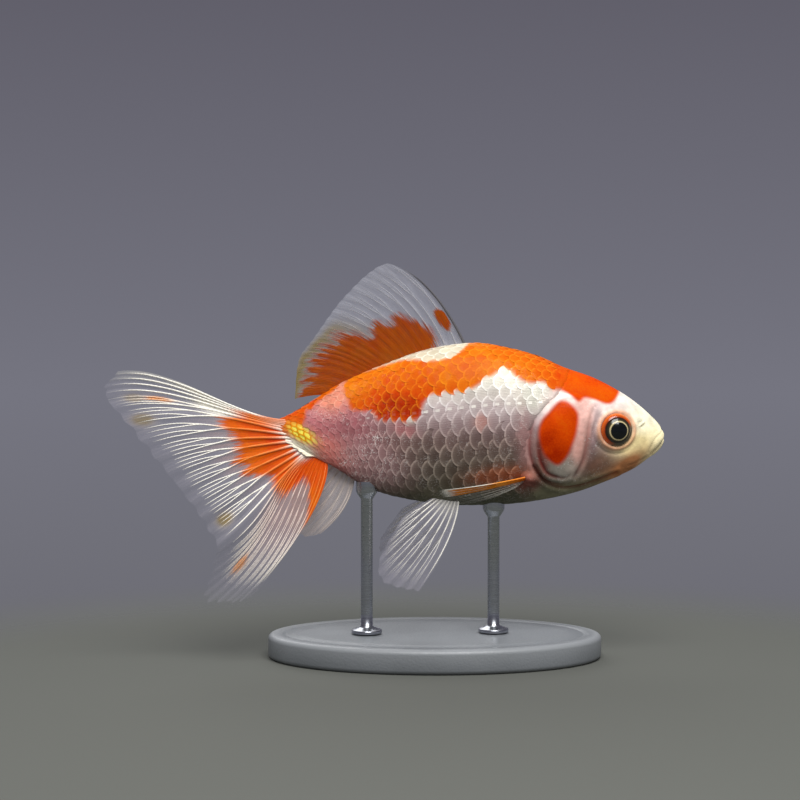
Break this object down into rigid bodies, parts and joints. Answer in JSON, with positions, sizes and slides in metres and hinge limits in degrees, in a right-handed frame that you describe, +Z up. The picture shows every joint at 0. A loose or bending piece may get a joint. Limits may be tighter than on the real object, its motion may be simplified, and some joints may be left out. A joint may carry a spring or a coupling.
{
  "type": "goldfish",
  "caption": "Life-size model of a red and white comet goldfish, swimming, with spread fins, held by rods on an oval display base.",
  "frame": {"origin": "centre of the underside of the stand's base", "axes": "+X the way the fish faces, +Y to the fish's left, +Z up"},
  "size_m": [0.1148, 0.046, 0.0826],
  "materials": {
    "skin": "wet, scaled skin, orange saddle on silvery white",
    "eye": "glossy, dark iris with a gold ring",
    "fin": "clear membrane with pale rays, part orange",
    "stand_base": "satin grey lacquer",
    "stand_rod": "brushed"
  },
  "bodies": {
    "root": {"head": "skin", "upper_lip": "skin", "lower_jaw": "skin", "gill_cover_right": "skin", "gill_cover_left": "skin", "trunk_front": "skin", "trunk_rear": "skin", "tail_stem": "skin", "eye_right": "eye", "eye_left": "eye", "dorsal_fin": "fin", "tail_fin_upper": "fin", "tail_fin_lower": "fin", "anal_fin": "fin", "pelvic_fin_right": "fin", "pelvic_fin_left": "fin", "pectoral_fin_right": "fin", "pectoral_fin_left": "fin", "stand_base": "stand_base", "stand_rod_front": "stand_rod", "stand_rod_rear": "stand_rod"}
  },
  "joints": []
}
